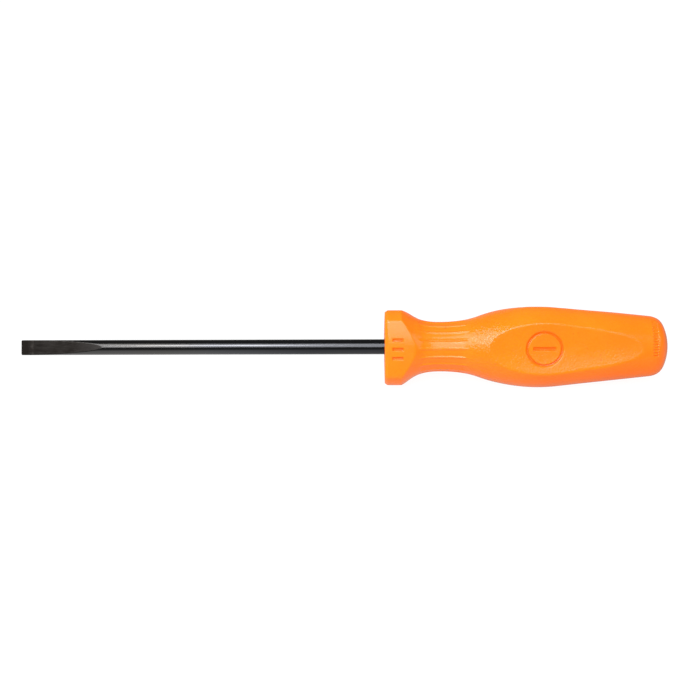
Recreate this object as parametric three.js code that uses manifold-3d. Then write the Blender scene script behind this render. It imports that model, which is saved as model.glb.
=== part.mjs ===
// A slotted screwdriver: one steel blade held in a handle of two mouldings, a hard core and an outer grip.
// Lengths are in millimetres. The tool lies along X with its tip towards -X, and +Z is up.
// A station is a distance along the tool from the front face of the handle's collar.
import * as THREE from "three";
import { mergeVertices } from "three/addons/utils/BufferGeometryUtils.js";
import Module from "manifold-3d";

const wasm = await Module();
wasm.setup();

// ---- Driving dimensions ----

const GAP = 0.3; // clearance between nested pieces
const GRIP_SEGMENTS = 72; // round the handle, four to each flute of the neck
const SHANK_SEGMENTS = 40;
const CORE_SEGMENTS = 36;
const CURVE_STEPS = 5; // along each curve of an outline

const BLADE_LENGTH = 152.4; // 6 in, tip to collar
const SHANK_RADIUS = 3.175; // 1/4 in bar
const TIP_THICKNESS = 1.1;
const TIP_PARALLEL = 4.5; // the stretch behind the edge with parallel faces
const GRIND_LENGTH = 34; // where the ground faces run out into the round shank
const TIP_CORNER = 0.4; // bevel on the edge's two corners
const BLADE_ROLL = 52; // degrees from the flat faces level: 8 past square to the front panel

const TANG_END = 78;
const TANG_CHAMFER = 0.8;
const WING = { length: 9, foot: 14, span: 9.6, thickness: 2.2 };
const WING_STATIONS = [48, 65]; // the two pairs of wings, a quarter turn apart

const HANDLE_LENGTH = 118.7;
const COLLAR_RADIUS = 16.6; // over the three corners
const COLLAR_CHAMFER = 1;
const COLLAR_FLAT = 12.45; // from the axis to the middle of a crowned flat
const COLLAR_CROWN = 70; // radius of the crowned flats
const COLLAR_END = 6.9;
const COLLAR_CUT_END = 16; // past the last of the flats, where the flare is narrower than they are
const NECK = { station: 23.05, radius: 10.43 };
const SHOULDER = { station: 39.95, radius: 13.07 };
const BELLY = { station: 63.9, radius: 17.2 };
const TAPER = { station: 88.6, radius: 15 };
const TAIL = { station: 110.5, radius: 12.72 };
const DOME_EDGE = { station: 116.8, radius: 8.7 };
const DOME_RADIUS = 21;

const PANELS = 3;
const PANEL_FRONT = { station: 43.2, depth: 14.2 }; // depth is the distance from the axis
const PANEL_REAR = { station: 107.9, depth: 13 };

const FLUTES = 18;
const FLUTE_DEPTH = 0.45;
const FLUTE_ZONE = { from: 16.5, to: 35, fade: 3 };

const CORE_FRONT = 4;
const CORE_REAR = 106;
const CORE_NECK = 6.6; // radius in the neck
const CORE_BELLY = { station: 62, radius: 10.2, lead: 14 };
const CORE_TAIL = 7.6;
const KEY = { from: 46, to: 94, width: 2.4, radius: 11.8 }; // ribs that stop the grip turning on the core

// ---- Solids ----

const radians = (degrees) => THREE.MathUtils.degToRad(degrees);

// A closed three.js geometry as a solid that can be cut and joined.
function solidOf(geometry) {
  const bare = geometry.clone();
  bare.deleteAttribute("normal");
  bare.deleteAttribute("uv");
  const merged = mergeVertices(bare, 1e-4);
  return new wasm.Manifold(
    new wasm.Mesh({
      numProp: 3,
      vertProperties: merged.attributes.position.array,
      triVerts: Uint32Array.from(merged.index.array),
    }),
  );
}

function geometryOf(solid) {
  const { vertProperties, triVerts } = solid.getMesh();
  const geometry = new THREE.BufferGeometry();
  geometry.setAttribute("position", new THREE.BufferAttribute(vertProperties, 3));
  geometry.setIndex(new THREE.BufferAttribute(triVerts, 1));
  geometry.computeVertexNormals();
  return geometry;
}

const joined = (solids) => solids.reduce((whole, piece) => whole.add(piece));

// Revolves an outline of (station, radius) points, which starts and ends on the axis, about X.
function revolved(outline, segments) {
  const profile = outline.map((point) => new THREE.Vector2(point.y, point.x));
  return new THREE.LatheGeometry(profile, segments).rotateZ(-Math.PI / 2);
}

// Extrudes a shape drawn in the tool's YZ plane along X, from one station to another.
function alongX(shape, from, to) {
  const options = { depth: to - from, bevelEnabled: false, curveSegments: 8 };
  const axes = new THREE.Matrix4().makeBasis(
    new THREE.Vector3(0, 1, 0),
    new THREE.Vector3(0, 0, 1),
    new THREE.Vector3(1, 0, 0),
  );
  return new THREE.ExtrudeGeometry(shape, options).applyMatrix4(axes).translate(from, 0, 0);
}

// ---- Blade ----

// The round bar, or with a clearance the hole that holds it.
function bar(from, to, clearance) {
  const radius = SHANK_RADIUS + clearance;
  const outline = [
    new THREE.Vector2(from, 0),
    new THREE.Vector2(from, radius),
    new THREE.Vector2(to + clearance - TANG_CHAMFER, radius),
    new THREE.Vector2(to + clearance, radius - TANG_CHAMFER),
    new THREE.Vector2(to + clearance, 0),
  ];
  return solidOf(revolved(outline, SHANK_SEGMENTS));
}

// One pair of swaged wings: a flat trapezium across the bar, lying in the XY plane.
function wingPair(station, clearance) {
  const half = WING.span / 2 + clearance;
  const top = WING.length / 2 + clearance;
  const foot = WING.foot / 2 + clearance;
  const thickness = WING.thickness + 2 * clearance;
  const shape = new THREE.Shape([
    new THREE.Vector2(-foot, 0),
    new THREE.Vector2(-top, -half),
    new THREE.Vector2(top, -half),
    new THREE.Vector2(foot, 0),
    new THREE.Vector2(top, half),
    new THREE.Vector2(-top, half),
  ]);
  const slab = new THREE.ExtrudeGeometry(shape, { depth: thickness, bevelEnabled: false });
  return slab.translate(station, 0, -thickness / 2);
}

function wings(clearance, roll) {
  return joined(
    WING_STATIONS.map((station, i) =>
      solidOf(wingPair(station, clearance).rotateX(radians(roll + 90 * i))),
    ),
  );
}

// What the two ground faces leave, seen from the side: thin at the edge and as thick as the bar behind.
function grindEnvelope() {
  const tip = -BLADE_LENGTH;
  const thin = TIP_THICKNESS / 2;
  const thick = SHANK_RADIUS + 1;
  const slope = (SHANK_RADIUS - thin) / (GRIND_LENGTH - TIP_PARALLEL);
  const clear = tip + TIP_PARALLEL + (thick - thin) / slope;
  const side = new THREE.Shape([
    new THREE.Vector2(tip - 1, -thin),
    new THREE.Vector2(tip + TIP_PARALLEL, -thin),
    new THREE.Vector2(clear, -thick),
    new THREE.Vector2(TANG_END + 1, -thick),
    new THREE.Vector2(TANG_END + 1, thick),
    new THREE.Vector2(clear, thick),
    new THREE.Vector2(tip + TIP_PARALLEL, thin),
    new THREE.Vector2(tip - 1, thin),
  ]);
  const width = 2 * SHANK_RADIUS + 2;
  const slab = new THREE.ExtrudeGeometry(side, { depth: width, bevelEnabled: false });
  return solidOf(slab.translate(0, 0, -width / 2).rotateX(Math.PI / 2));
}

// Seen from above: the edge's corners are bevelled.
function cornerEnvelope() {
  const tip = -BLADE_LENGTH;
  const wide = SHANK_RADIUS + 1;
  const bevelled = tip + TIP_CORNER + (wide - SHANK_RADIUS);
  const plan = new THREE.Shape([
    new THREE.Vector2(tip, TIP_CORNER - SHANK_RADIUS),
    new THREE.Vector2(bevelled, -wide),
    new THREE.Vector2(TANG_END + 1, -wide),
    new THREE.Vector2(TANG_END + 1, wide),
    new THREE.Vector2(bevelled, wide),
    new THREE.Vector2(tip, SHANK_RADIUS - TIP_CORNER),
  ]);
  const height = 2 * SHANK_RADIUS + 2;
  const slab = new THREE.ExtrudeGeometry(plan, { depth: height, bevelEnabled: false });
  return solidOf(slab.translate(0, 0, -height / 2));
}

function bladeSolid() {
  return bar(-BLADE_LENGTH, TANG_END, 0)
    .intersect(grindEnvelope())
    .intersect(cornerEnvelope())
    .add(wings(0, 0));
}

// The hollow that the rolled tang fills, open to the front along the shank.
function tangHollow() {
  return bar(-1, TANG_END, GAP).add(wings(GAP, BLADE_ROLL));
}

// ---- Handle core ----

// Offset is the clearance that the grip's hollow keeps round the core.
function coreOutline(offset) {
  const front = CORE_FRONT - offset;
  const rear = CORE_REAR + offset;
  const path = new THREE.Path();
  path.moveTo(front, 0);
  path.lineTo(front, CORE_NECK + offset);
  path.lineTo(NECK.station, CORE_NECK + offset);
  path.bezierCurveTo(
    NECK.station + CORE_BELLY.lead,
    CORE_NECK + offset,
    CORE_BELLY.station - CORE_BELLY.lead,
    CORE_BELLY.radius + offset,
    CORE_BELLY.station,
    CORE_BELLY.radius + offset,
  );
  path.lineTo(rear, CORE_TAIL + offset);
  path.lineTo(rear, 0);
  return path.getPoints(CURVE_STEPS);
}

// One key stands up, and the others follow round the axis, so each lies under a ridge between two panels.
function key(index, offset) {
  const reach = KEY.radius + offset;
  const length = KEY.to - KEY.from + 2 * offset;
  const rib = new THREE.BoxGeometry(length, KEY.width + 2 * offset, reach);
  rib.translate((KEY.from + KEY.to) / 2, 0, reach / 2);
  return solidOf(rib.rotateX((index * 2 * Math.PI) / PANELS));
}

function coreBody(offset) {
  const body = solidOf(revolved(coreOutline(offset), CORE_SEGMENTS));
  const keys = Array.from({ length: PANELS }, (_, i) => key(i, offset));
  return body.add(joined(keys));
}

function coreSolid() {
  return coreBody(0).subtract(tangHollow());
}

// ---- Handle grip ----

// The handle's outline as a body of revolution, from the collar's front face to the butt.
function gripOutline() {
  const path = new THREE.Path();
  path.moveTo(0, 0);
  path.lineTo(0, COLLAR_RADIUS - COLLAR_CHAMFER);
  path.lineTo(COLLAR_CHAMFER, COLLAR_RADIUS);
  path.lineTo(COLLAR_END, COLLAR_RADIUS);
  path.bezierCurveTo(11.6, 13.1, 13.75, NECK.radius, NECK.station, NECK.radius);
  path.bezierCurveTo(33.2, NECK.radius, 38, 12.35, SHOULDER.station, SHOULDER.radius);
  path.bezierCurveTo(47.15, 15.7, 57.2, BELLY.radius, BELLY.station, BELLY.radius);
  path.bezierCurveTo(71, BELLY.radius, 72.5, 16.6, TAPER.station, TAPER.radius);
  path.lineTo(TAIL.station, TAIL.radius);
  path.bezierCurveTo(113.8, 12.38, 115.67, 11.17, DOME_EDGE.station, DOME_EDGE.radius);
  const edgeAngle = Math.asin(DOME_EDGE.radius / DOME_RADIUS);
  path.absarc(HANDLE_LENGTH - DOME_RADIUS, 0, DOME_RADIUS, edgeAngle, 0, true);
  return path.getPoints(CURVE_STEPS);
}

// How deep the flutes are at a station, from 0 outside their zone to their full depth inside it.
function fluteDepth(station) {
  const { from, to, fade } = FLUTE_ZONE;
  const entry = THREE.MathUtils.smoothstep(station, from, from + fade);
  const exit = 1 - THREE.MathUtils.smoothstep(station, to - fade, to);
  return FLUTE_DEPTH * entry * exit;
}

// Presses the scalloped flutes into the revolved handle. A ridge runs along the middle of each panel.
function pressFlutes(geometry) {
  const points = geometry.getAttribute("position");
  for (let i = 0; i < points.count; i++) {
    const angle = Math.atan2(points.getY(i), -points.getZ(i));
    const radius = Math.hypot(points.getY(i), points.getZ(i));
    const depth = fluteDepth(points.getX(i)) * Math.abs(Math.sin((FLUTES / 2) * angle));
    const scale = radius > 0 ? (radius - depth) / radius : 1;
    points.setXYZ(i, points.getX(i), points.getY(i) * scale, points.getZ(i) * scale);
  }
  return geometry;
}

// A block whose inner face is one panel. Panel 0 faces down, and the others follow round the axis.
function panelCutter(index) {
  const run = PANEL_REAR.station - PANEL_FRONT.station;
  const tilt = Math.atan((PANEL_FRONT.depth - PANEL_REAR.depth) / run);
  const block = new THREE.BoxGeometry(run + 20, 40, 10);
  const middle = (PANEL_FRONT.station + PANEL_REAR.station) / 2;
  const depth = (PANEL_FRONT.depth + PANEL_REAR.depth) / 2;
  block.translate(0, 0, -5).rotateY(-tilt).translate(middle, 0, -depth);
  return solidOf(block.rotateX((index * 2 * Math.PI) / PANELS));
}

// What is cut from round the collar: a ring whose hole has three crowned flats and three round corners.
function collarCutter() {
  const back = COLLAR_CROWN - COLLAR_FLAT; // each crown's centre lies this far behind the axis
  const reach = (COLLAR_CROWN ** 2 - COLLAR_RADIUS ** 2 - back ** 2) / (2 * back);
  const cornerAngle = Math.acos(reach / COLLAR_RADIUS);
  const crownAngle = Math.asin((COLLAR_RADIUS * Math.sin(cornerAngle)) / COLLAR_CROWN);
  const step = (2 * Math.PI) / PANELS;
  const hole = new THREE.Path();
  for (let i = 0; i < PANELS; i++) {
    const facing = i * step - Math.PI / 2;
    const x = -back * Math.cos(facing);
    const y = -back * Math.sin(facing);
    hole.absarc(x, y, COLLAR_CROWN, facing - crownAngle, facing + crownAngle, false);
    hole.absarc(0, 0, COLLAR_RADIUS + GAP, facing + cornerAngle, facing + step - cornerAngle, false);
  }
  const ring = new THREE.Shape();
  ring.absarc(0, 0, COLLAR_RADIUS + 5, 0, 2 * Math.PI, false);
  ring.holes.push(hole);
  return solidOf(alongX(ring, -1, COLLAR_CUT_END));
}

function gripSolid() {
  const panels = Array.from({ length: PANELS }, (_, i) => panelCutter(i));
  return solidOf(pressFlutes(revolved(gripOutline(), GRIP_SEGMENTS)))
    .subtract(joined(panels))
    .subtract(collarCutter())
    .subtract(coreBody(GAP))
    .subtract(bar(-1, TANG_END, GAP));
}

// ---- Materials ----

function blackSteel() {
  return new THREE.MeshStandardMaterial({ color: 0x2a2827, roughness: 0.35, metalness: 0.9 });
}

function hardCorePlastic() {
  return new THREE.MeshStandardMaterial({ color: 0x2b2b2e, roughness: 0.55, metalness: 0 });
}

function orangePlastic() {
  return new THREE.MeshStandardMaterial({ color: 0xff8a1c, roughness: 0.6, metalness: 0 });
}

// ---- Assembly ----

function piece(name, solid, material) {
  const mesh = new THREE.Mesh(geometryOf(solid), material);
  mesh.name = name;
  return mesh;
}

const blade = piece("blade", bladeSolid(), blackSteel());
blade.rotation.x = radians(BLADE_ROLL);
const core = piece("handle_core", coreSolid(), hardCorePlastic());
const grip = piece("handle_grip", gripSolid(), orangePlastic());

const tool = new THREE.Group();
tool.add(blade, core, grip);
tool.position.set((BLADE_LENGTH - HANDLE_LENGTH) / 2, 0, PANEL_FRONT.depth);

const screwdriver = new THREE.Group();
screwdriver.add(tool);
export default screwdriver;
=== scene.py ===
"""The looks of a slotted screwdriver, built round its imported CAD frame.

Lengths are in millimetres until a mesh is made. A station is a distance along the tool from the front face of
the handle's collar, and an angle "from the front panel" grows from the middle of the panel that faces the
viewer towards the top of the tool.
"""

import math

import bpy
import numpy as np
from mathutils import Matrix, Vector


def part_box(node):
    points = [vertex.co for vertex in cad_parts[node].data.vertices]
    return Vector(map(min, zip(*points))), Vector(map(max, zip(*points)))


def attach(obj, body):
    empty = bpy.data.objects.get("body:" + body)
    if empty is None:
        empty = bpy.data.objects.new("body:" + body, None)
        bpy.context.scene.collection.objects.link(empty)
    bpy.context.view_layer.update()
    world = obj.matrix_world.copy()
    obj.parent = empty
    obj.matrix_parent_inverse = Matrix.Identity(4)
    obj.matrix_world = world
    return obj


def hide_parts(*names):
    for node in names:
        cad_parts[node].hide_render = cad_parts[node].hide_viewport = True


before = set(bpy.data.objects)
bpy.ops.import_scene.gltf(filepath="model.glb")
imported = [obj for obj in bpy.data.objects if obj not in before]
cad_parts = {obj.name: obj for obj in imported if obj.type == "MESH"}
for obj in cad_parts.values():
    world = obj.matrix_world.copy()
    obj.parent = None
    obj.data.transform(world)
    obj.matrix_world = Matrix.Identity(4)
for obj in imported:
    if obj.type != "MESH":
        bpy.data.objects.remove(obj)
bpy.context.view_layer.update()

# ---- Driving dimensions: the CAD part's, with finer ribs, edges, panels and marks ----

MM = 0.001
GAP = 0.3

SHANK_RADIUS = 3.175
TIP_THICKNESS = 1.1
TIP_PARALLEL = 4.5
GRIND_LENGTH = 34
TIP_CORNER = 0.4
TIP_EDGE = 0.12  # the rounding of the tip's end face
TIP_ROLL = 38  # degrees above level that the ground face on the front side looks

TANG_END = 78
TANG_CHAMFER = 0.8
WING_LENGTH = 9
WING_FOOT = 14
WING_SPAN = 9.6
WING_THICKNESS = 2.2
WING_STATIONS = (48, 65)

HANDLE_LENGTH = 118.7
COLLAR_RADIUS = 16.6
COLLAR_FLAT = 12.45
COLLAR_CROWN = 70  # the radius of a crowned flat
COLLAR_EDGE = 0.7  # the rounding between two flats
COLLAR_END = 6.9
CHAMFER_LENGTH = 1.2
CHAMFER_DEPTH = 0.9
FLARE_END = 16
NECK = (23.05, 10.43)
SHOULDER = (39.95, 13.07)
BELLY = (63.9, 17.2)
TAPER = (88.6, 15)
TAIL = (110.5, 12.72)
DOME_EDGE = (116.8, 8.7)
DOME_RADIUS = 21

PANEL_FRONT = (43.2, 14.2)
PANEL_REAR = (107.9, 13)
PANEL_DISH = 0.45  # along a panel
PANEL_HOLLOW = 0.95  # across a panel, PANEL_HALF_WIDTH from its middle
PANEL_HALF_WIDTH = 10.3
PANEL_EDGE, PANEL_EDGE_REAR = 0.6, 0.3  # how far its rim is rounded over
PANEL_ANGLES = (0, 120, 240)  # from the front panel
FRONT_PANEL_RISE = 30  # degrees above level that the front panel looks

RIBS = 18
RIB_HEIGHT = 0.36
RIB_WIDTH = 0.8
RIB_FROM, RIB_TO, RIB_FADE = 13.4, 35.6, 2.8

CORE_FRONT = 4
CORE_REAR = 106
CORE_NECK = 6.6
CORE_BELLY = (62, 10.2)
CORE_TAIL = 7.6
BORE_RADIUS = SHANK_RADIUS + GAP / 2
BORE_CHAMFER = (0.3, 0.25)  # along the bore and across the collar's face
KEY_FROM, KEY_TO = 46, 94
KEY_WIDTH = 2.4
KEY_RADIUS = 11.8
KEY_ANGLES = (60, 180, 300)  # from the front panel

EMBLEM_STATION = 66.3
EMBLEM_RADIUS = 7.3
EMBLEM_STROKE = 1.0
EMBLEM_SLOT = (9.4, 1.5)
COLLAR_BARS = (-3.9, 0, 3.9)  # across the front flat
COLLAR_BAR_SIZE = (4.4, 1.2)
COLLAR_BAR_STATION = 5.4
TICK_ANGLES = np.arange(-14, 62, 5.5)  # from the front panel
MARKED_ANGLES = (-40, 60)  # between these the grip's mesh is fine enough for the marks
TICK_STATION = 112.6
TICK_SIZE = (2.1, 0.6)
MARK_DEPTH = 0.75
TICK_DEPTH = 0.45
MARK_WALL = 0.3  # how wide the wall of a mark is, seen from above

# ---- The tool's place in the frame ----

blade_low, blade_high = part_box("blade")
COLLAR_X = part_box("handle_grip")[0].x / MM
AXIS_Z = (blade_low.z + blade_high.z) / 2 / MM
TIP = blade_low.x / MM - COLLAR_X  # the tip's station, which is negative


# ---- Outlines and numbers ----


def smoothstep(x, low, high):
    t = np.clip((x - low) / (high - low), 0, 1)
    return t * t * (3 - 2 * t)


def soft_min(a, b, width):
    """The lower of a and b, rounded over where they are within width of each other."""
    h = np.clip(0.5 + 0.5 * (b - a) / width, 0, 1)
    return b * (1 - h) + a * h - width * h * (1 - h)


def from_angle(angles, centre):
    """Angles in degrees measured from centre, from -180 to 180."""
    return (angles - centre + 180) % 360 - 180


def bezier(points, steps=60):
    a, b, c, d = np.array(points, float)
    t = np.linspace(0, 1, steps)[:, None]
    return (1 - t) ** 3 * a + 3 * (1 - t) ** 2 * t * b + 3 * (1 - t) * t**2 * c + t**3 * d


def dome(steps=40):
    """The butt, from the dome's edge to the axis."""
    angles = np.linspace(math.asin(DOME_EDGE[1] / DOME_RADIUS), 0, steps)
    centre = HANDLE_LENGTH - DOME_RADIUS
    return np.stack([centre + DOME_RADIUS * np.cos(angles), DOME_RADIUS * np.sin(angles)], 1)


def resampled(outline, spacing):
    """Points along an outline, spacing(station) apart."""
    step = np.hypot(*np.diff(outline, axis=0).T)
    middle = (outline[1:, 0] + outline[:-1, 0]) / 2
    count = np.concatenate([[0], np.cumsum(step / spacing(middle))])
    wanted = np.linspace(0, count[-1], math.ceil(count[-1]) + 1)
    return np.stack([np.interp(wanted, count, outline[:, i]) for i in (0, 1)], 1)


def box_distance(u, v, size):
    """Distance outside a rectangle of that size, negative inside it."""
    du, dv = np.abs(u) - size[0] / 2, np.abs(v) - size[1] / 2
    return np.hypot(np.maximum(du, 0), np.maximum(dv, 0)) + np.minimum(np.maximum(du, dv), 0)


def ring_distance(u, v, radius, stroke):
    return np.abs(np.hypot(u, v) - radius) - stroke / 2


def carved(distance, depth=MARK_DEPTH):
    """How deep a debossed mark is at a distance from its edge."""
    return depth * smoothstep(-distance, -MARK_WALL / 2, MARK_WALL / 2)


# ---- Meshes ----


def closed_tube(name, rows, material, **shares):
    """A closed mesh from rows of points, each row a ring round the tool.

    Each of the shares, numbers from 0 to 1 at the points, is an attribute that the material reads by name.
    """
    count, around, _ = rows.shape
    ends = [rows[0].mean(0), rows[-1].mean(0)]
    points = np.concatenate([rows.reshape(-1, 3), ends]) * MM
    row = np.arange(count - 1)[:, None] * around
    column = np.arange(around)[None, :]
    beside = (column + 1) % around
    quads = np.stack(
        [row + column, row + around + column, row + around + beside, row + beside], 2
    ).reshape(-1, 4)
    first, last = count * around, count * around + 1
    last_row = (count - 1) * around
    near = [(first, int(a), int(b)) for a, b in zip(column[0], beside[0])]
    far = [(last, int(last_row + b), int(last_row + a)) for a, b in zip(column[0], beside[0])]
    mesh = bpy.data.meshes.new(name)
    mesh.from_pydata(points.tolist(), [], quads.tolist() + near + far)
    mesh.polygons.foreach_set("use_smooth", [True] * len(mesh.polygons))
    for title, share in shares.items():
        attribute = mesh.attributes.new(title, "FLOAT", "POINT")
        attribute.data.foreach_set("value", np.append(share.ravel(), [0, 0]))
    mesh.materials.append(material)
    piece = bpy.data.objects.new(name, mesh)
    bpy.context.scene.collection.objects.link(piece)
    return piece


def placed(stations, radii, directions):
    """Points at each station and radius, in a direction in degrees above level on the front side."""
    turn = np.radians(directions)
    x = COLLAR_X + stations + 0 * radii
    return np.stack([x, -radii * np.cos(turn), AXIS_Z + radii * np.sin(turn)], -1)


# ---- Blade ----


def grind_half(station):
    """Half the thickness that the ground faces leave."""
    along = (station - TIP - TIP_PARALLEL) / (GRIND_LENGTH - TIP_PARALLEL)
    half = TIP_THICKNESS / 2
    return half + (SHANK_RADIUS - half) * np.maximum(along, 0)


def wing_radius(station, angle, centre):
    """The outline of one pair of wings, which lies across the bar at station centre."""
    reach = np.clip((WING_FOOT / 2 - np.abs(station - centre)) / (WING_FOOT - WING_LENGTH) * 2, 0, 1)
    turn = np.radians(angle)
    span = WING_SPAN / 2 * reach / np.maximum(np.abs(np.cos(turn)), 1e-3)
    return np.minimum(span, WING_THICKNESS / 2 / np.maximum(np.abs(np.sin(turn)), 1e-3))


def make_blade():
    """The blade, with the share ground, which is 1 on a ground face and 0 on the shank's skin."""

    def spacing(station):
        from_tip = station - TIP
        return np.select([from_tip < 1, from_tip < GRIND_LENGTH + 2, station < 40], [0.1, 0.3, 2.0], 0.6)

    dense = np.stack([np.linspace(TIP, TANG_END, 2000), np.zeros(2000)], 1)
    stations = resampled(dense, spacing)[:, :1]
    half = grind_half(stations)
    around = np.radians(np.arange(0, 360, 2.5))[None, :]
    flat = np.minimum(half, SHANK_RADIUS)
    angle = np.degrees(np.arctan2(SHANK_RADIUS * np.sin(around), flat * np.cos(around)))
    turn = np.radians(angle)
    end_round = TIP_EDGE * (1 - np.sqrt(1 - np.clip(1 - (stations - TIP) / TIP_EDGE, 0, 1) ** 2))
    corner = np.maximum(TIP_CORNER - (stations - TIP), 0)
    tang = np.maximum(stations - TANG_END + TANG_CHAMFER, 0)
    thick = (half - end_round) / np.maximum(np.abs(np.cos(turn)), 1e-3)
    wide = (SHANK_RADIUS - corner - end_round) / np.maximum(np.abs(np.sin(turn)), 1e-3)
    radius = soft_min(soft_min(SHANK_RADIUS - tang + 0 * turn, thick, 0.1), wide, 0.05)
    for i, centre in enumerate(WING_STATIONS):
        radius = np.maximum(radius, wing_radius(stations, angle + 90 + 90 * i, centre))
    shares = np.array([0.25, 0.5, 0.75])[:, None]
    near = placed(TIP + 0 * shares, shares * radius[:1], TIP_ROLL + angle[:1] + 0 * shares)
    along = placed(stations, radius, TIP_ROLL + angle)
    far = placed(TANG_END + 0 * shares, shares[::-1] * radius[-1:], TIP_ROLL + angle[-1:] + 0 * shares)
    cut = smoothstep(SHANK_RADIUS - radius, 0.01, 0.05) * (stations < 0)
    ground = np.concatenate([1 + 0 * near[..., 0], cut, 0 * far[..., 0]])
    return closed_tube("blade_visual", np.concatenate([near, along, far]), black_oxide(), ground=ground)


# ---- Grip ----


def grip_outline():
    """The handle as a body of revolution, from the rear of the collar's chamfer to the butt."""
    neck, shoulder, belly, taper = NECK, SHOULDER, BELLY, TAPER
    collar = np.linspace((0, COLLAR_RADIUS), (COLLAR_END, COLLAR_RADIUS), 60)
    flare = bezier([(COLLAR_END, COLLAR_RADIUS), (11.6, 13.1), (13.75, neck[1]), neck])
    swell = bezier([neck, (33.2, neck[1]), (38, 12.35), shoulder])
    body = bezier([shoulder, (47.15, 15.7), (57.2, belly[1]), belly])
    fall = bezier([belly, (71, belly[1]), (72.5, 16.6), taper])
    tail = np.linspace(taper, TAIL, 60)
    corner = bezier([TAIL, (113.8, 12.38), (115.67, 11.17), DOME_EDGE])
    parts = [collar, flare, swell, body, fall, tail, corner, dome()]
    return np.concatenate([parts[0]] + [part[1:] for part in parts[1:]])


def panel_depth(station):
    """From the axis to the middle of a panel, which is dished along its length."""
    (front, front_depth), (rear, rear_depth) = PANEL_FRONT, PANEL_REAR
    share = (station - front) / (rear - front)
    dish = np.clip(1 - (2 * share - 1) ** 4, 0, 1)
    return front_depth + (rear_depth - front_depth) * share - PANEL_DISH * dish


def panel_half_width(station):
    """From the middle of a panel to its rim, about."""
    half = (PANEL_REAR[0] - PANEL_FRONT[0]) / 2
    along = (station - PANEL_FRONT[0]) / half - 1
    return PANEL_HALF_WIDTH * np.sqrt(np.clip(1 - along**2, 0, 1))


def panel_limit(station, angle):
    """The radius at which a panel cuts the body, at an angle from that panel's middle."""
    turn = np.radians(np.clip(angle, -60, 60))
    depth = panel_depth(station)
    rim = np.clip(panel_half_width(station), 1, None)
    hollow = PANEL_HOLLOW * ((depth * np.tan(turn)) ** 2 - rim**2) / PANEL_HALF_WIDTH**2
    return (depth + hollow) / np.cos(turn)


def collar_limit(angle):
    """The radius of one crowned flat of the collar, at an angle from its middle."""
    turn = np.radians(np.clip(angle, -60, 60))
    back = COLLAR_CROWN - COLLAR_FLAT
    return np.sqrt(COLLAR_CROWN**2 - (back * np.sin(turn)) ** 2) - back * np.cos(turn)


def collar_outline(angle):
    radius = COLLAR_RADIUS + 0 * angle
    for facing in PANEL_ANGLES:
        radius = soft_min(radius, collar_limit(from_angle(angle, facing)), COLLAR_EDGE)
    return radius


def flutes(station, radius, angle):
    """How deep the neck is cut between its ribs."""
    fade = smoothstep(station, RIB_FROM, RIB_FROM + RIB_FADE)
    fade = fade * (1 - smoothstep(station, RIB_TO - RIB_FADE, RIB_TO))
    across = 2 * radius / RIBS * np.sin(np.radians(RIBS / 2 * angle))
    return RIB_HEIGHT * fade * (1 - np.exp(-((2 * across / RIB_WIDTH) ** 2)))


def emblem(station, angle, depth):
    """A screw head's ring and slot, debossed in the front panel."""
    u = station - EMBLEM_STATION
    turn = np.radians(np.clip(angle, -60, 60))
    v = depth * np.tan(turn)
    ring = ring_distance(u, v, EMBLEM_RADIUS, EMBLEM_STROKE)
    return carved(np.minimum(ring, box_distance(u, v, EMBLEM_SLOT))) / np.cos(turn)


def collar_bars(station, angle, radius):
    v = radius * np.sin(np.radians(angle))
    u = station - COLLAR_BAR_STATION
    near = [box_distance(u, v - offset, COLLAR_BAR_SIZE) for offset in COLLAR_BARS]
    return carved(np.minimum.reduce(near)) * (np.abs(angle) < 60)


def ticks(station, angle, radius):
    u = station - TICK_STATION
    near = [box_distance(u, radius * np.radians(angle - at), TICK_SIZE) for at in TICK_ANGLES]
    return carved(np.minimum.reduce(near), TICK_DEPTH)


def grip_surface(station, radius, angle):
    """The radius of the grip's outer skin, before its marks."""
    skin = radius - flutes(station, radius, angle)
    edge = PANEL_EDGE + (PANEL_EDGE_REAR - PANEL_EDGE) * smoothstep(station, 85, 105)
    for facing in PANEL_ANGLES:
        from_middle = from_angle(angle, facing)
        limit = panel_limit(station, from_middle)
        skin = soft_min(skin, np.where(np.abs(from_middle) < 60, limit, 99), edge)
    chamfer = CHAMFER_DEPTH * np.clip(1 - station / CHAMFER_LENGTH, 0, 1)
    collar = np.where(station < FLARE_END, collar_outline(angle) - chamfer, 99)
    return soft_min(skin, collar, 0.3)


def grip_marks(station, skin, angle):
    """How deep the marks on the grip's front are cut into its skin."""
    front = from_angle(angle, 0)
    marks = emblem(station, front, panel_depth(station))
    return marks + collar_bars(station, front, skin) + ticks(station, front, skin)


def hollow_radius(station, outline, angle):
    """The hollow round the core, with a slot for each of its keys."""
    radius = outline + 0 * angle
    for facing in KEY_ANGLES:
        turn = np.radians(from_angle(angle, facing))
        side = (KEY_WIDTH / 2 + 2 * GAP) / np.maximum(np.abs(np.sin(turn)), 1e-3)
        slot = np.minimum((KEY_RADIUS + GAP) / np.maximum(np.cos(turn), 1e-3), side)
        inside = (station > KEY_FROM - 2 * GAP) & (station < KEY_TO + 2 * GAP) & (np.cos(turn) > 0)
        radius = np.where(inside, np.maximum(radius, slot), radius)
    return radius


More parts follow.
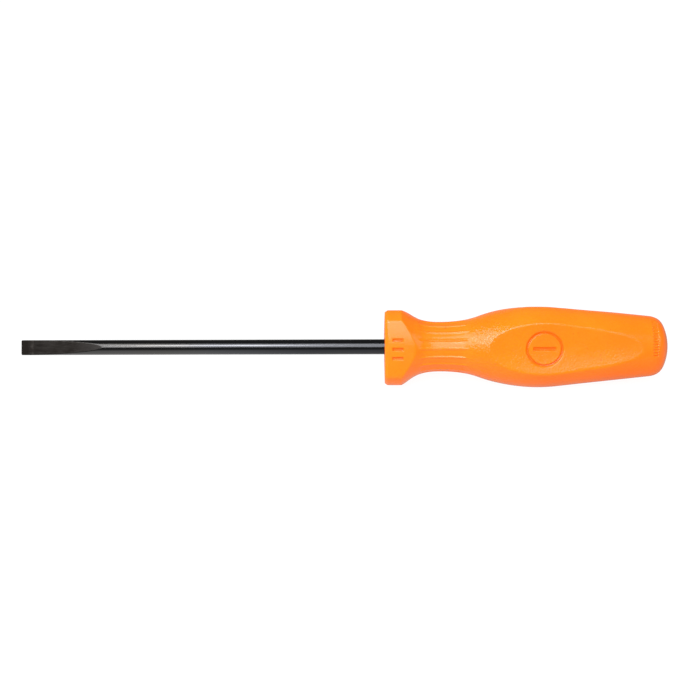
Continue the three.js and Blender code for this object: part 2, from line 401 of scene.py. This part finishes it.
def hollow_outline():
    """The hollow from its rear end to its mouth, with the bore round the shank."""
    neck = (NECK[0], CORE_NECK + GAP)
    belly = (CORE_BELLY[0], CORE_BELLY[1] + GAP)
    rear = (CORE_REAR + GAP, CORE_TAIL + GAP)
    bend = bezier([belly, (belly[0] - 14, belly[1]), (neck[0] + 14, neck[1]), neck], 12)
    front = CORE_FRONT - GAP
    mouth = [(front, neck[1]), (front, BORE_RADIUS), (BORE_CHAMFER[0], BORE_RADIUS)]
    keyed = np.linspace(rear, belly, 20)
    return np.concatenate([[(rear[0], 0.5 * rear[1])], keyed, bend[1:], mouth])


def grip_columns():
    """Angles round the grip, from the front panel: close together where the marks are."""
    first, last = MARKED_ANGLES
    fine = np.arange(first, last, 2 / 3)
    coarse = np.arange(last, first + 360, 2.0)
    return np.concatenate([fine, coarse])[None, :]


def grip_spacing(station):
    in_emblem = np.abs(station - EMBLEM_STATION) < EMBLEM_RADIUS + 1
    in_collar = station < 14
    in_ticks = np.abs(station - TICK_STATION) < 2
    return np.select([in_emblem, in_collar, in_ticks], [0.24, 0.28, 0.25], 0.6)


def polish(station, radius, skin):
    """How well the mould was polished: 1 at the collar and ribs, less at the rear and on panels, else 0."""
    front = 1 - smoothstep(station, RIB_TO - RIB_FADE, RIB_TO + RIB_FADE)
    rear = 0.7 * smoothstep(station, 46, 60)
    panel = 0.75 * smoothstep(radius - skin, 0.05, 0.25)
    return np.maximum(front, np.maximum(rear, panel))


def make_grip():
    """The grip, with the share of painted shade in its marks, which grows with a mark's depth, and the share
    polished.
    """
    angle = grip_columns()
    hollow = hollow_outline()
    inner = hollow_radius(hollow[:, :1], hollow[:, 1:], angle)
    face_edge = collar_outline(angle) - CHAMFER_DEPTH
    mouth = BORE_RADIUS + BORE_CHAMFER[1]
    shares = np.linspace(0, 1, 9)[:-1, None]
    face = mouth + shares * (face_edge - mouth)
    outline = resampled(grip_outline(), grip_spacing)[:-1]
    station = outline[:, :1]
    skin = grip_surface(station, outline[:, 1:], angle)
    marks = grip_marks(station, skin, angle)
    direction = FRONT_PANEL_RISE + angle
    rows = np.concatenate([
        placed(hollow[:, :1], inner, direction),
        placed(0 * shares, face, direction),
        placed(station, skin - marks, direction),
    ])
    inside = np.concatenate([0 * inner, 0 * face])
    # Painted shade: this share darkens the colour of each mark's floor, standing in for the shade that falls
    # in a recess.
    marked = np.concatenate([inside, smoothstep(marks / MARK_DEPTH, 0.4, 1)])
    polished = np.concatenate([inside, polish(station, outline[:, 1:], skin)])
    return closed_tube("grip_visual", rows, orange_plastic(), marked=marked, polished=polished)


# ---- Materials ----


def node(tree, kind, **settings):
    made = tree.nodes.new("ShaderNode" + kind)
    for name, value in settings.items():
        if name in made.inputs:
            made.inputs[name].default_value = value
        else:
            setattr(made, name, value)
    return made


def noise(tree, place, scale, detail=3.0, roughness=0.5):
    made = node(tree, "TexNoise", Scale=scale, Detail=detail, Roughness=roughness)
    tree.links.new(place, made.inputs["Vector"])
    return made.outputs["Fac"]


def ranged(tree, value, low, high, to_low, to_high):
    """A value between low and high, mapped to between to_low and to_high and held there."""
    made = node(tree, "MapRange")
    for name, number in (("From Min", low), ("From Max", high), ("To Min", to_low), ("To Max", to_high)):
        made.inputs[name].default_value = number
    tree.links.new(value, made.inputs["Value"])
    return made.outputs["Result"]


def plug(tree, value, socket):
    """Sets a socket to a number or a colour, or links another socket to it."""
    if isinstance(value, tuple):
        socket.default_value = (*value, 1)
    elif isinstance(value, (int, float)):
        socket.default_value = value
    else:
        tree.links.new(value, socket)


def mixed(tree, share, first, second):
    """A colour between two colours."""
    made = node(tree, "Mix", data_type="RGBA")
    for index, value in ((0, share), (6, first), (7, second)):
        plug(tree, value, made.inputs[index])
    return made.outputs[2]


def between(tree, share, first, second):
    """A number between two numbers."""
    made = node(tree, "Mix", data_type="FLOAT")
    for index, value in ((0, share), (2, first), (3, second)):
        plug(tree, value, made.inputs[index])
    return made.outputs[0]


def bumped(tree, height, distance, strength, below=None):
    made = node(tree, "Bump", Strength=strength, Distance=distance)
    tree.links.new(height, made.inputs["Height"])
    if below is not None:
        tree.links.new(below, made.inputs["Normal"])
    return made.outputs["Normal"]


def new_material(name):
    material = bpy.data.materials.new(name)
    material.use_nodes = True
    tree = material.node_tree
    shader = tree.nodes["Principled BSDF"]
    place = node(tree, "TexCoord").outputs["Object"]
    return material, tree, shader, place


def stretched(tree, place, scale):
    """Coordinates scaled along each axis. A noise with a small X scale runs in lines along the tool."""
    made = node(tree, "Mapping", Scale=scale)
    tree.links.new(place, made.inputs["Vector"])
    return made.outputs["Vector"]


def combined(tree, operation, *values):
    """One Math node, with values that are each a socket or a number."""
    made = node(tree, "Math", operation=operation)
    for socket, value in zip(made.inputs, values):
        plug(tree, value, socket)
    return made.outputs["Value"]


def stored(tree, name):
    """A share that the mesh carries."""
    return node(tree, "Attribute", attribute_name=name).outputs["Fac"]


def axis(tree, place, name):
    """The X, Y or Z of a vector."""
    made = node(tree, "SeparateXYZ")
    tree.links.new(place, made.inputs["Vector"])
    return made.outputs[name]


def orange_plastic():
    """A mould's fine spark-eroded texture, nearly smooth where the mesh says that it was polished."""
    material, tree, shader, place = new_material("orange_plastic")
    cloud = noise(tree, place, 45.0, 4.0)
    grain = noise(tree, place, 1250.0, 1.0)
    swirl = noise(tree, place, 260.0, 2.0)
    speck = noise(tree, place, 700.0, 1.0)
    tone = ranged(tree, combined(tree, "MULTIPLY_ADD", grain, 0.4, cloud), 0.5, 0.9, 0, 1)
    colour = mixed(tree, tone, (0.98, 0.158, 0.002), (0.99, 0.188, 0.003))
    # Painted shade: the colour darkens towards a mark's floor, as if shade fell in the recess. The dark
    # specks below are the plastic's own flecks.
    marked = mixed(tree, ranged(tree, stored(tree, "marked"), 0, 1, 0, 0.45), colour, (0.95, 0.085, 0.001))
    specks_and_shade = mixed(tree, ranged(tree, speck, 0.74, 0.78, 0, 0.6), marked, (0.7, 0.07, 0.004))
    tree.links.new(specks_and_shade, shader.inputs["Base Color"])
    polished = stored(tree, "polished")
    gloss = combined(tree, "MULTIPLY_ADD", polished, 0.05, ranged(tree, swirl, 0.3, 0.7, 0.13, 0.18))
    tree.links.new(gloss, shader.inputs["Roughness"])
    soft = bumped(tree, swirl, 0.00005, 0.25)
    height = combined(tree, "MULTIPLY", grain, ranged(tree, polished, 0, 1, 1, 0.08))
    tree.links.new(bumped(tree, height, 0.00026, 1.0, soft), shader.inputs["Normal"])
    shader.inputs["IOR"].default_value = 1.46
    return material


def ground_finish(tree, place, streaks):
    """The ground faces' colour: dark at the parallel tip, worn where the taper starts, and paler towards its
    end with a painted sheen.
    """
    x = axis(tree, place, "X")
    start = (COLLAR_X + TIP + TIP_PARALLEL) * MM
    end = (COLLAR_X + TIP + GRIND_LENGTH) * MM
    streaked = ranged(tree, streaks, 0.35, 0.65, 0, 1)
    taper = mixed(tree, streaked, (0.011, 0.0095, 0.0085), (0.021, 0.019, 0.0175))
    # Painted reflection: the taper's colour grows paler over its last 12 mm, towards the apex.
    painted_sheen = mixed(tree, ranged(tree, x, end - 12 * MM, end, 0, 1), taper, (0.029, 0.027, 0.026))
    tip = mixed(tree, ranged(tree, x, start - 2 * MM, start, 0, 1), (0.0095, 0.008, 0.0072), painted_sheen)
    wander = ranged(tree, noise(tree, place, 420.0, 3.0), 0.3, 0.7, start - 0.4 * MM, start + 0.8 * MM)
    from_line = combined(tree, "ABSOLUTE", combined(tree, "SUBTRACT", x, wander))
    line = ranged(tree, from_line, 0, 0.5 * MM, 1, 0)
    worn = combined(tree, "MULTIPLY", line, ranged(tree, streaks, 0.4, 0.6, 0.1, 0.8))
    return mixed(tree, worn, tip, (0.045, 0.04, 0.036))


def black_oxide():
    """A blackened bar, drawn along its length, warmer towards the tip, with satin ground faces."""
    material, tree, shader, place = new_material("black_oxide")
    drawn = noise(tree, stretched(tree, place, (0.02, 1, 1)), 2600.0, 2.0)
    streaks = noise(tree, stretched(tree, place, (0.25, 1, 1)), 700.0, 4.0, 0.6)
    grit = noise(tree, place, 3500.0, 2.0)
    cloud = noise(tree, stretched(tree, place, (0.3, 1, 1)), 60.0, 3.0)
    along = ranged(tree, axis(tree, place, "X"), (COLLAR_X - 100) * MM, (COLLAR_X - 55) * MM, -0.17, 0.17)
    tint = ranged(tree, combined(tree, "ADD", cloud, along), 0.35, 0.65, 0, 1)
    shank = mixed(tree, tint, (0.0665, 0.0645, 0.062), (0.061, 0.0625, 0.0685))
    is_ground = stored(tree, "ground")
    finish = mixed(tree, is_ground, shank, ground_finish(tree, place, streaks))
    tree.links.new(finish, shader.inputs["Base Color"])
    skin = ranged(tree, drawn, 0.3, 0.7, 0.1, 0.17)
    satin = ranged(tree, grit, 0.3, 0.7, 0.34, 0.46)
    tree.links.new(between(tree, is_ground, skin, satin), shader.inputs["Roughness"])
    lines = bumped(tree, drawn, 0.00002, 0.3)
    height = combined(tree, "MULTIPLY", grit, is_ground)
    tree.links.new(bumped(tree, height, 0.00001, 0.3, lines), shader.inputs["Normal"])
    shader.inputs["Metallic"].default_value = 1.0
    return material


def core_plastic():
    material, tree, shader, place = new_material("core_plastic")
    cloud = noise(tree, place, 90.0, 4.0)
    grain = noise(tree, place, 1500.0, 2.0)
    colour = mixed(tree, cloud, (0.022, 0.022, 0.026), (0.04, 0.04, 0.045))
    tree.links.new(colour, shader.inputs["Base Color"])
    tree.links.new(ranged(tree, grain, 0.3, 0.7, 0.45, 0.62), shader.inputs["Roughness"])
    tree.links.new(bumped(tree, grain, 0.00005, 0.3), shader.inputs["Normal"])
    return material


def pale_floor():
    """White paper, lit so evenly that it glows.

    It is white to the camera, as in a retouched catalogue picture, with a faint shadow. Matt surfaces get
    less light from it behind the tool. Gloss mirrors a floor that fades towards the viewer and to the right,
    as if black cards stood there.
    """
    material, tree, shader, place = new_material("pale_floor")
    ray = node(tree, "LightPath").outputs
    back = ranged(tree, axis(tree, place, "Y"), 0, FLOOR_STEP * MM, 0, 1)
    diffuse = between(tree, back, *FLOOR_TO_DIFFUSE)
    gloss = between(tree, back, *FLOOR_TO_GLOSS)
    for name, start, end, first, last in FLOOR_GLOSS_FADES:
        fade = ranged(tree, axis(tree, place, name), start * MM, end * MM, first, last)
        gloss = combined(tree, "MULTIPLY", gloss, fade)
    spill = between(tree, ray["Is Glossy Ray"], diffuse, gloss)
    glow = between(tree, ray["Is Camera Ray"], spill, FLOOR_TO_CAMERA)
    tree.links.new(glow, shader.inputs["Emission Strength"])
    shader.inputs["Emission Color"].default_value = (1, 1, 1, 1)
    shader.inputs["Base Color"].default_value = (0.08, 0.08, 0.08, 1)
    shader.inputs["Roughness"].default_value = 0.9
    shader.inputs["Specular IOR Level"].default_value = 0
    return material


# ---- Stage ----

CAMERA_RISE = 35.3
CAMERA_ROLL = 0.15
CAMERA_LENS = 120
FRAME_WIDTH = 289.8  # of the camera's view, at the tool
AIM_RIGHT = 0.27  # the camera aims this far to the right of the tool's middle
AIM_UP = 0.78  # and this far above it in the picture
SKY = 0.78
SKY_IN_GLOSS = 0.15
SKY_SLANT = 0.4  # how much brighter the left end is than the middle, and the right end dimmer
FLOOR_TO_CAMERA = 0.95
FLOOR_TO_DIFFUSE = (0.88, 0.42)  # in front of the tool and behind it
FLOOR_TO_GLOSS = (0.58, 0.34)
FLOOR_STEP = 20  # the width of the step from the front's strength to the back's
FLOOR_GLOSS_FADES = (  # each an axis, two places on it, and the factor at each place
    ("Y", -110, -10, 0.2, 1.1),
    ("X", -60, -15, 1.9, 0.95),
    ("X", 0, 130, 1, 0.5),
)


def make_camera():
    data = bpy.data.cameras.new("camera")
    data.lens = CAMERA_LENS
    camera = bpy.data.objects.new("camera", data)
    bpy.context.scene.collection.objects.link(camera)
    rise = math.radians(CAMERA_RISE)
    half_angle = math.atan(data.sensor_width / 2 / data.lens)
    away = FRAME_WIDTH / 2 / math.tan(half_angle)
    y = -away * math.cos(rise) + AIM_UP * math.sin(rise)
    z = AXIS_Z + away * math.sin(rise) + AIM_UP * math.cos(rise)
    camera.location = (AIM_RIGHT * MM, y * MM, z * MM)
    camera.rotation_euler = (math.pi / 2 - rise, 0, 0)
    camera.rotation_euler.rotate_axis("Z", math.radians(-CAMERA_ROLL))
    bpy.context.scene.camera = camera


def make_floor():
    half = 6  # metres
    corners = [(-half, -half, 0), (half, -half, 0), (half, half, 0), (-half, half, 0)]
    mesh = bpy.data.meshes.new("floor")
    mesh.from_pydata(corners, [], [(0, 1, 2, 3)])
    mesh.materials.append(pale_floor())
    floor = bpy.data.objects.new("floor", mesh)
    bpy.context.scene.collection.objects.link(floor)


def softbox(name, azimuth, rise, distance, size, radiance, roll=0):
    """A rectangular light that looks at the tool, with its right end raised by roll.

    Azimuth 0 is the viewer's side and grows to the right. Distance and size are in metres.
    """
    data = bpy.data.lights.new(name, "AREA")
    data.shape = "RECTANGLE"
    data.size, data.size_y = size
    data.energy = radiance * math.pi * size[0] * size[1]
    light = bpy.data.objects.new(name, data)
    bpy.context.scene.collection.objects.link(light)
    a, e = math.radians(azimuth), math.radians(rise)
    back = (math.sin(a) * math.cos(e), -math.cos(a) * math.cos(e), math.sin(e))
    light.location = [distance * c for c in back]
    light.rotation_euler = (math.pi / 2 - e, 0, a)
    light.rotation_euler.rotate_axis("Z", math.radians(roll))


def make_world():
    """A pale room, brighter on the left, dim where gloss mirrors it, and white to the camera."""
    world = bpy.data.worlds.new("studio")
    bpy.context.scene.world = world
    world.use_nodes = True
    tree = world.node_tree
    towards = node(tree, "TexCoord").outputs["Generated"]
    side = ranged(tree, axis(tree, towards, "X"), -1, 1, 1 + SKY_SLANT, 1 - SKY_SLANT)
    ray = node(tree, "LightPath").outputs
    light = combined(tree, "MULTIPLY", side, ranged(tree, ray["Is Glossy Ray"], 0, 1, SKY, SKY_IN_GLOSS))
    seen = combined(tree, "MAXIMUM", light, ray["Is Camera Ray"])
    tree.links.new(seen, tree.nodes["Background"].inputs["Strength"])
    tree.nodes["Background"].inputs["Color"].default_value = (1, 1, 1, 1)


def make_lights():
    make_world()
    softbox("key", -32, 59, 0.62, (0.86, 0.57), 3.5, 8)
    softbox("key_centre", -16, 59, 0.6, (0.12, 0.15), 11.0)
    softbox("side_card", 80, 27, 0.55, (0.3, 0.25), 1.35)


# ---- Assembly ----

make_camera()
make_floor()
make_lights()
bpy.context.scene.view_settings.view_transform = "Standard"

pieces = ((make_blade(), "blade", "blade_steel"), (make_grip(), "handle_grip", "grip_plastic"))
for piece, replaced, slot in pieces:
    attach(piece, "root")
    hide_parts(replaced)

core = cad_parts["handle_core"]
core.material_slots[0].link = "OBJECT"
core.material_slots[0].material = core_plastic()
